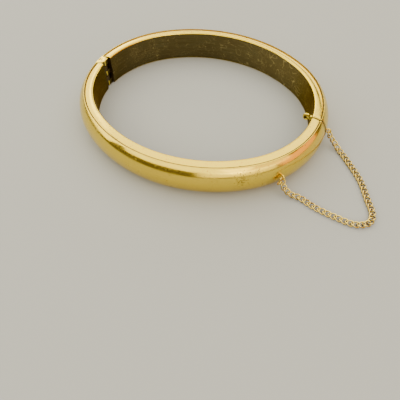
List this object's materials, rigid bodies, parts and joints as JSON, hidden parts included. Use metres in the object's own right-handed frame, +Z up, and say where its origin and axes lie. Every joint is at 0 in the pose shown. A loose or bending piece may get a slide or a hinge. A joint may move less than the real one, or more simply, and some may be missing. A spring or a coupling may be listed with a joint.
{
  "type": "hinged bangle",
  "caption": "Oval hollow hinged bangle with flat rims and a domed outside, a pin hinge, a box clasp with thumb button and a curb safety chain.",
  "frame": {"origin": "middle of the oval wrist opening, on the plane that the bangle's lower rims rest on", "axes": "+X from the hinge to the clasp, +Y to the back half, +Z up, along the axis of the wrist"},
  "size_m": [0.0859, 0.0608, 0.0088],
  "materials": {
    "gold": "polished yellow gold with fine wear scratches"
  },
  "bodies": {
    "back_half": {"back_dome": "gold", "back_liner": "gold", "hinge_pin": "gold", "safety_chain": "gold"},
    "front_half": {"front_dome": "gold", "front_liner": "gold", "clasp_tongue": "gold", "jump_ring": "gold"}
  },
  "joints": [
    {"name": "hinge", "type": "hinge", "parent": "back_half", "child": "front_half", "pos_m": [-0.0322, 0, 0.0044], "axis": [0, 0, -1], "range_deg": [0, 30], "deforming": ["safety_chain"]}
  ]
}
